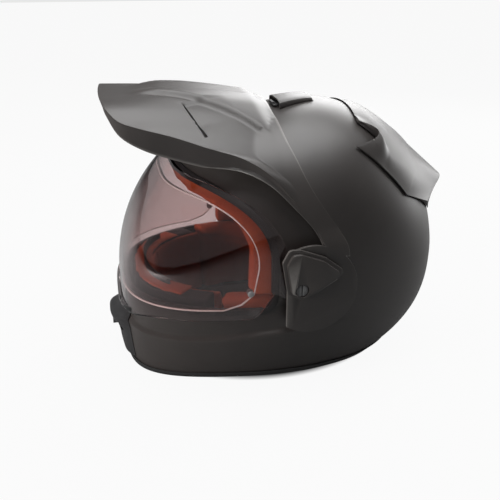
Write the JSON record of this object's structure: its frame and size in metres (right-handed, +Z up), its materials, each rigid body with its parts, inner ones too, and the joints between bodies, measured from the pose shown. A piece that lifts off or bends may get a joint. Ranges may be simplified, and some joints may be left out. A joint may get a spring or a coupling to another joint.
{
  "type": "full_face_helmet",
  "caption": "Matte charcoal full face adventure helmet with a beaked peak, a clear lifting face shield, side pods, chin and crown vents, and a rust-brown padded lining",
  "frame": {"origin": "centre of the opening for the head, in the resting plane and in the plane of symmetry", "axes": "front of the helmet faces -Y, the rider's left is +X, up is +Z"},
  "size_m": [0.2664, 0.3454, 0.2692],
  "materials": {
    "shell_paint": "matte charcoal paint with a fine grain",
    "black_plastic": "moulded black plastic",
    "grey_plastic": "moulded grey plastic",
    "black_rubber": "satin black rubber",
    "foam_black": "moulded bead foam",
    "rust_fabric": "brushed rust-brown knit",
    "black_fabric": "black knit and suede",
    "webbing": "woven webbing",
    "steel": "satin steel",
    "dark_screw": "satin dark grey",
    "clear_shield": "clear polished polycarbonate",
    "clear_insert": "clear anti-fog film"
  },
  "bodies": {
    "helmet": {"outer_shell": "shell_paint", "base_trim": "black_rubber", "eyeport_gasket": "black_rubber", "eps_liner": "foam_black", "chin_liner": "foam_black", "crown_pad": "rust_fabric", "brow_band": "rust_fabric", "cheek_pad_left": "rust_fabric", "cheek_pad_right": "rust_fabric", "neck_roll": "black_fabric", "breath_guard": "black_rubber", "chin_strap_left": "webbing", "chin_strap_right": "webbing", "strap_rivets": "steel", "shield_base_left": "black_plastic", "shield_base_right": "black_plastic", "peak": "shell_paint", "side_pod_left": "shell_paint", "side_pod_right": "shell_paint", "pod_screws": "dark_screw", "chin_vent_housing": "black_plastic", "chin_vent_mesh": "black_plastic", "top_vent_cover": "shell_paint", "rear_spoiler": "shell_paint", "rear_vent_mesh": "black_plastic"},
    "shield": {"face_shield": "clear_shield", "fog_insert": "clear_insert", "insert_pins": "grey_plastic"},
    "chin_shutter": {"chin_vent_shutter": "black_plastic"},
    "top_slider": {"top_vent_slider": "black_plastic"},
    "ring_front": {"d_ring_front": "steel"},
    "ring_rear": {"d_ring_rear": "steel"}
  },
  "joints": [
    {"name": "shield_lift", "type": "hinge", "parent": "helmet", "child": "shield", "pos_m": [0, 0.006, 0.112], "axis": [-1, 0, 0], "range_deg": [0, 40]},
    {"name": "chin_shutter_slide", "type": "slide", "parent": "helmet", "child": "chin_shutter", "axis": [0, 0, 1], "range_m": [0, 0.007]},
    {"name": "top_slider_slide", "type": "slide", "parent": "helmet", "child": "top_slider", "axis": [0, 0.9807, 0.1954], "range_m": [0, 0.0034]},
    {"name": "d_ring_front_swing", "type": "hinge", "parent": "helmet", "child": "ring_front", "pos_m": [0.058, 0.018, 0.0095], "axis": [0, 1, 0], "range_deg": [0, 90]},
    {"name": "d_ring_rear_swing", "type": "hinge", "parent": "helmet", "child": "ring_rear", "pos_m": [0.0614, 0.018, 0.0129], "axis": [0, 1, 0], "range_deg": [0, 90]}
  ],
  "couplings": [
    {"joint": "d_ring_rear_swing", "follows": "d_ring_front_swing", "ratio": 1}
  ]
}
